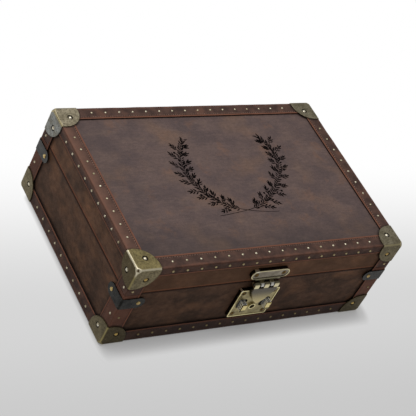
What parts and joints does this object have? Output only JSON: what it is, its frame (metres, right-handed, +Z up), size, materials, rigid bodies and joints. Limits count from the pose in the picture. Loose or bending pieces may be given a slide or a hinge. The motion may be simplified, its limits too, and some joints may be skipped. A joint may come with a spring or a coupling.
{
  "type": "leather watch box",
  "caption": "Leather-covered wooden watch box in trunk style, with a hinged lid, corner caps, a hasp with a squeeze-tab lock and a padded inside with pillows.",
  "frame": {"origin": "on the plane the box rests on, midway between its outermost faces left to right and front to back, lock and hinges included", "axes": "+X to the right along the front, +Y towards the hinges at the back, +Z up"},
  "size_m": [0.3022, 0.2084, 0.1011],
  "materials": {
    "carcass_wood": "bare plywood",
    "aged_leather": "waxed, mottled grey-brown",
    "strap_leather": "dark brown with tan-red burnished borders",
    "antique_brass": "speckled olive antique, worn pale at the folds",
    "pale_brass": "polished domes",
    "lock_brass": "brushed, with bright rims",
    "blued_steel": "satin gunmetal",
    "spring_steel": "bare steel",
    "suede": "short taupe nap"
  },
  "bodies": {
    "base": {"base_bottom_board": "carcass_wood", "base_long_boards": "carcass_wood", "base_end_boards": "carcass_wood", "base_bottom_leather": "aged_leather", "base_side_leather": "aged_leather", "base_front_edge_trim": "strap_leather", "base_right_edge_trim": "strap_leather", "base_back_edge_trim": "strap_leather", "base_left_edge_trim": "strap_leather", "base_upright_trims": "strap_leather", "base_corner_cap_front_left": "antique_brass", "base_corner_cap_front_right": "antique_brass", "base_corner_cap_back_left": "antique_brass", "base_corner_cap_back_right": "antique_brass", "base_tacks": "pale_brass", "base_corner_nails": "pale_brass", "seam_clamps": "blued_steel", "clamp_nails": "pale_brass", "base_wall_lining": "suede", "floor_lining": "suede", "long_divider": "suede", "cross_dividers": "suede", "watch_pillows": "suede", "hinge_base_leaves": "antique_brass", "hinge_pins": "antique_brass", "hinge_base_screws": "antique_brass", "lock_case": "lock_brass", "lock_back_plate": "lock_brass", "lock_case_screws": "lock_brass", "left_tab_spring": "spring_steel", "right_tab_spring": "spring_steel"},
    "lid": {"lid_top_board": "carcass_wood", "lid_long_boards": "carcass_wood", "lid_end_boards": "carcass_wood", "lid_top_leather": "aged_leather", "lid_side_leather": "aged_leather", "lid_front_edge_trim": "strap_leather", "lid_right_edge_trim": "strap_leather", "lid_back_edge_trim": "strap_leather", "lid_left_edge_trim": "strap_leather", "lid_upright_trims": "strap_leather", "lid_corner_cap_front_left": "antique_brass", "lid_corner_cap_front_right": "antique_brass", "lid_corner_cap_back_left": "antique_brass", "lid_corner_cap_back_right": "antique_brass", "lid_tacks": "pale_brass", "lid_corner_nails": "pale_brass", "lid_wall_lining": "suede", "lid_pad": "suede", "hasp_plate": "lock_brass", "hasp_plate_screws": "lock_brass", "hasp_pin": "spring_steel", "hinge_lid_leaves": "antique_brass", "hinge_lid_screws": "antique_brass"},
    "hasp_flap": {"hasp_flap": "lock_brass"},
    "left_tab": {"left_tab": "lock_brass"},
    "right_tab": {"right_tab": "lock_brass"},
    "key_plug": {"key_plug": "lock_brass", "lock_cam": "lock_brass"}
  },
  "joints": [
    {"name": "lid_hinge", "type": "hinge", "parent": "base", "child": "lid", "pos_m": [0, 0.1016, 0.0665], "axis": [-1, 0, 0], "range_deg": [0, 95]},
    {"name": "flap_hinge", "type": "hinge", "parent": "lid", "child": "hasp_flap", "pos_m": [0, -0.0993, 0.0665], "axis": [-1, 0, 0], "range_deg": [0, 130]},
    {"name": "left_tab_slide", "type": "slide", "parent": "base", "child": "left_tab", "axis": [1, 0, 0], "range_m": [0, 0.0025], "stiffness_N_per_m": 300, "springref_m": -0.002, "deforming": ["left_tab_spring"]},
    {"name": "right_tab_slide", "type": "slide", "parent": "base", "child": "right_tab", "axis": [-1, 0, 0], "range_m": [0, 0.0025], "stiffness_N_per_m": 300, "springref_m": -0.002, "deforming": ["right_tab_spring"]},
    {"name": "key_turn", "type": "hinge", "parent": "base", "child": "key_plug", "pos_m": [0, -0.0978, 0.034], "axis": [0, -1, 0], "range_deg": [0, 90]}
  ]
}
